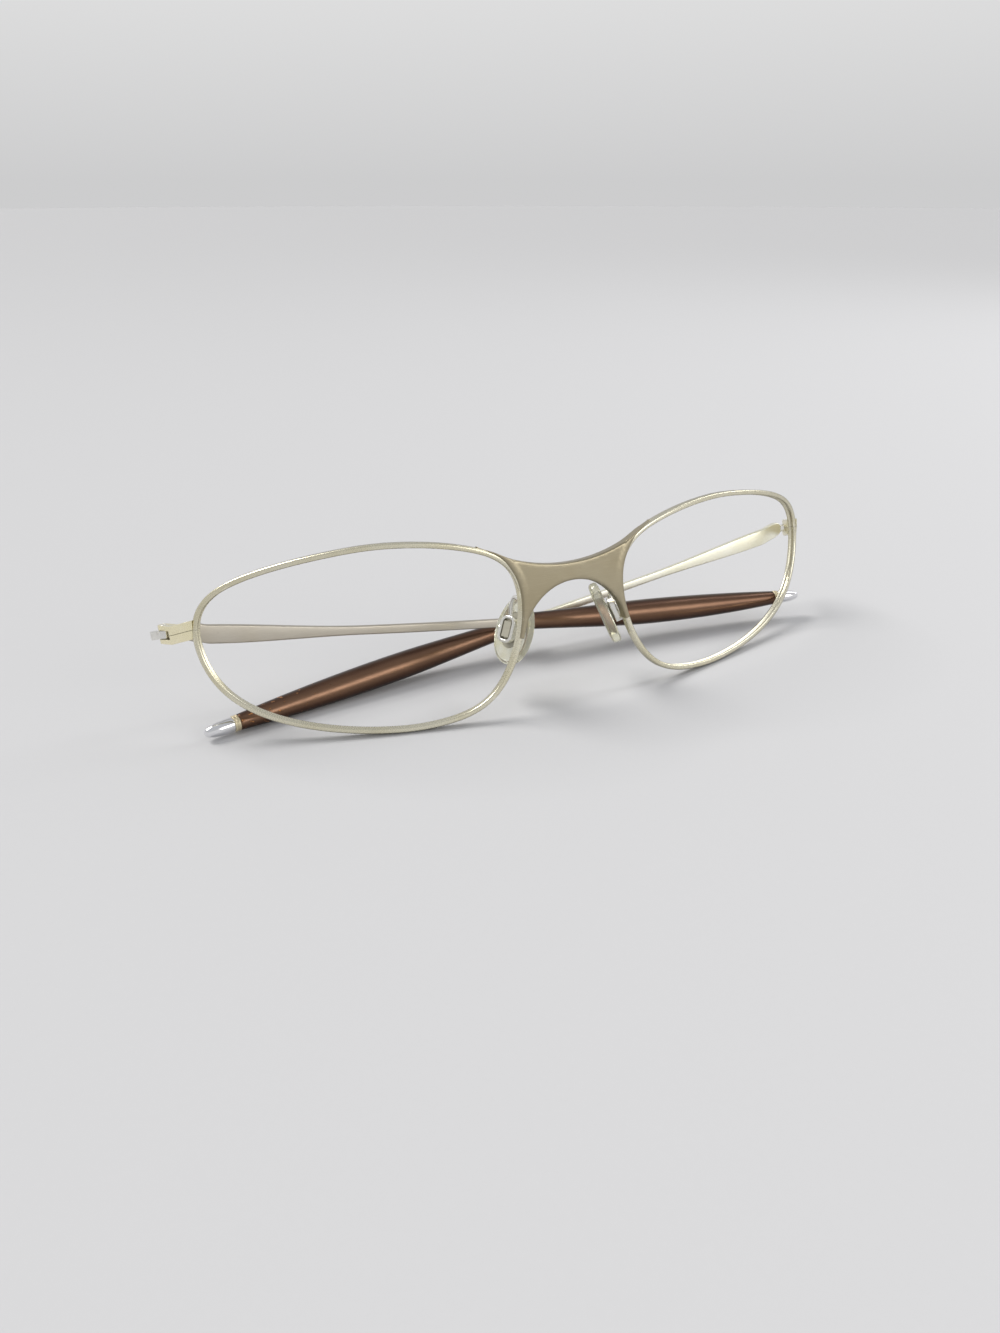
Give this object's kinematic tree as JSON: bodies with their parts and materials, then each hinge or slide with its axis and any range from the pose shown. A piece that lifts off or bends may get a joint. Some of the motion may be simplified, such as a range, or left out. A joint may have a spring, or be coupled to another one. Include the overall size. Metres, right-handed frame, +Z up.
{
  "type": "broken eyeglasses",
  "caption": "Folded wire-rimmed spectacles with both lenses gone: wrapped metal front, plate bridge, rocking nose pads, slim hinged temples with worn brown ear sleeves.",
  "frame": {"origin": "middle of the whole part's footprint, on the table it lies on", "axes": "+X to the wearer's left along the front, +Y back towards the temples, +Z up from the table"},
  "size_m": [0.146, 0.0276, 0.0341],
  "materials": {
    "satin_frame": "satin champagne metal, fine brushing, rubbed edges",
    "satin_temple": "satin champagne metal, brushed along the strip",
    "bright_fittings": "bright nickel, slightly dirty",
    "polished_tip": "polished, a little scuffed",
    "pale_ring": "pale cream, worn",
    "brown_sleeve": "metallic brown lacquer, chipped to copper near one end",
    "pad_plastic": "clear, slightly yellowed",
    "pad_plate": "white core plate"
  },
  "bodies": {
    "front": {"bridge": "satin_frame", "rim_left": "satin_frame", "rim_right": "satin_frame", "block_upper_left": "satin_frame", "block_upper_right": "satin_frame", "block_lower_left": "satin_frame", "block_lower_right": "satin_frame", "closing_screw_left": "bright_fittings", "closing_screw_right": "bright_fittings", "hinge_screw_left": "bright_fittings", "hinge_screw_right": "bright_fittings", "pad_arm_left": "bright_fittings", "pad_arm_right": "bright_fittings", "pad_screw_left": "bright_fittings", "pad_screw_right": "bright_fittings"},
    "temple_left": {"hinge_tongue_left": "bright_fittings", "temple_arm_left": "satin_temple", "sleeve_left": "brown_sleeve", "end_ring_left": "pale_ring", "tip_left": "polished_tip"},
    "temple_right": {"hinge_tongue_right": "bright_fittings", "temple_arm_right": "satin_temple", "sleeve_right": "brown_sleeve", "end_ring_right": "pale_ring", "tip_right": "polished_tip"},
    "pad_left": {"nose_pad_left": "pad_plastic", "pad_core_left": "pad_plate"},
    "pad_right": {"nose_pad_right": "pad_plastic", "pad_core_right": "pad_plate"}
  },
  "joints": [
    {"name": "temple_left_hinge", "type": "hinge", "parent": "front", "child": "temple_left", "pos_m": [0.0705, 0.01237, 0.01723], "axis": [0, -0.1994, -0.9799], "range_deg": [0, 78.7]},
    {"name": "temple_right_hinge", "type": "hinge", "parent": "front", "child": "temple_right", "pos_m": [-0.0705, 0.01237, 0.01723], "axis": [0, 0.1994, 0.9799], "range_deg": [0, 84.3]},
    {"name": "pad_left_rock", "type": "hinge", "parent": "front", "child": "pad_left", "pos_m": [0.01151, -0.00692, 0.01444], "axis": [0.3808, 0.9219, -0.0711], "range_deg": [-5, 5]},
    {"name": "pad_right_rock", "type": "hinge", "parent": "front", "child": "pad_right", "pos_m": [-0.01151, -0.00692, 0.01444], "axis": [-0.3808, 0.9219, -0.0711], "range_deg": [-5, 5]}
  ]
}
